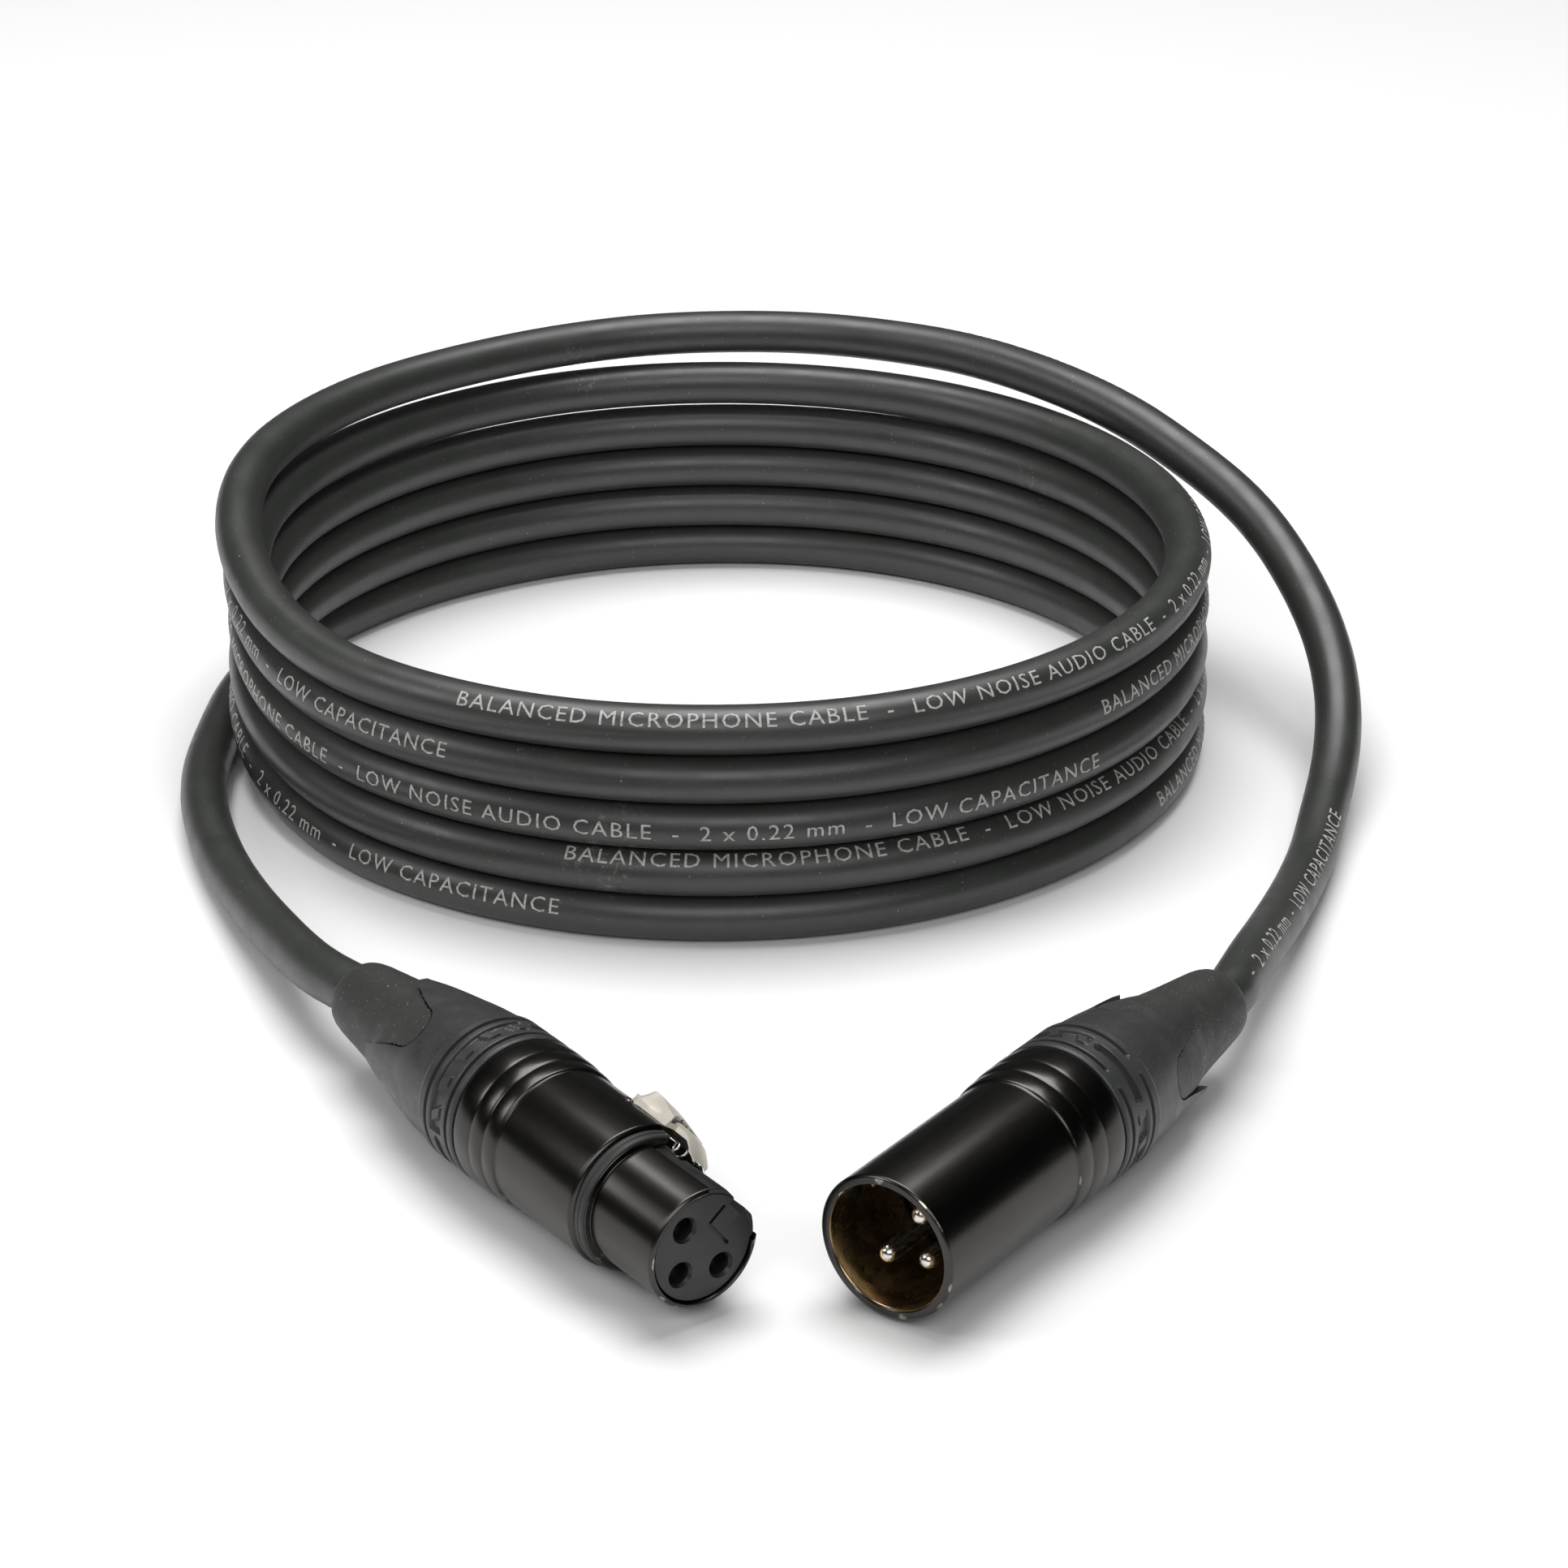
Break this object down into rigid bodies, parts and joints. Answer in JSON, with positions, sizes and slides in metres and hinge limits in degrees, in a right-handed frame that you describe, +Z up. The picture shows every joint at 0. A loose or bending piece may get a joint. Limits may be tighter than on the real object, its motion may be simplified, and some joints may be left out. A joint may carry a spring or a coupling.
{
  "type": "xlr microphone cable",
  "caption": "Coiled balanced microphone cable with a male XLR plug on one end and a latching female XLR socket on the other.",
  "frame": {"origin": "on the surface the cable lies on, midway between the two connectors in front of the coil", "axes": "+X to the side of the male connector, +Y from the connectors towards the coil, +Z up"},
  "size_m": [0.1778, 0.2544, 0.0431],
  "materials": {
    "jacket": "matt dark grey flexible plastic jacket",
    "black_chrome": "glossy black chrome over die-cast zinc",
    "insert_plastic": "moulded black plastic",
    "chuck_plastic": "moulded black plastic",
    "bushing_plastic": "satin black plastic",
    "boot_rubber": "matt dark grey rubber",
    "contact_silver": "silver-plated brass",
    "latch_nickel": "satin nickel",
    "spring_steel": "plain spring steel",
    "screen_copper": "tinned copper screen wire",
    "red_insulation": "coloured wire insulation",
    "white_insulation": "white wire insulation"
  },
  "bodies": {
    "cable": {"cable_coil": "jacket", "male_cable_tail": "jacket", "female_cable_tail": "jacket", "female_shell": "black_chrome", "female_insert": "insert_plastic", "female_socket_1": "contact_silver", "female_socket_2": "contact_silver", "female_socket_3": "contact_silver", "female_ground_spring": "spring_steel", "latch_pin": "spring_steel", "latch_spring": "spring_steel", "female_wire_1": "screen_copper", "female_wire_2": "red_insulation", "female_wire_3": "white_insulation", "male_shell": "black_chrome", "male_insert": "insert_plastic", "male_pin_1": "contact_silver", "male_pin_2": "contact_silver", "male_pin_3": "contact_silver", "male_ground_spring": "spring_steel", "male_wire_1": "screen_copper", "male_wire_2": "red_insulation", "male_wire_3": "white_insulation"},
    "latch": {"latch_lever": "latch_nickel"},
    "female_chuck": {"female_chuck": "chuck_plastic"},
    "female_bushing": {"female_bushing": "bushing_plastic", "female_boot": "boot_rubber"},
    "male_chuck": {"male_chuck": "chuck_plastic"},
    "male_bushing": {"male_bushing": "bushing_plastic", "male_boot": "boot_rubber"}
  },
  "joints": [
    {"name": "latch_press", "type": "hinge", "parent": "cable", "child": "latch", "pos_m": [-0.01779, -0.00834, 0.01531], "axis": [0.4968, 0.3636, -0.788], "range_deg": [0, 3.5], "stiffness_Nm_per_rad": 0.4, "springref_deg": -2.86},
    {"name": "female_chuck_slide", "type": "slide", "parent": "cable", "child": "female_chuck", "axis": [-0.5906, 0.807, 0], "range_m": [0, 0.004]},
    {"name": "female_bushing_turn", "type": "hinge", "parent": "female_chuck", "child": "female_bushing", "pos_m": [-0.03648, 0.00611, 0.0102], "axis": [-0.5906, 0.807, 0], "range_deg": [0, 1440]},
    {"name": "male_chuck_slide", "type": "slide", "parent": "cable", "child": "male_chuck", "axis": [0.5906, 0.807, 0], "range_m": [0, 0.004]},
    {"name": "male_bushing_turn", "type": "hinge", "parent": "male_chuck", "child": "male_bushing", "pos_m": [0.0367, 0.0046, 0.0102], "axis": [0.5906, 0.807, 0], "range_deg": [0, 1440]}
  ],
  "couplings": [
    {"joint": "female_chuck_slide", "follows": "female_bushing_turn", "m_per_rad": 0.00015915},
    {"joint": "male_chuck_slide", "follows": "male_bushing_turn", "m_per_rad": 0.00015915}
  ]
}
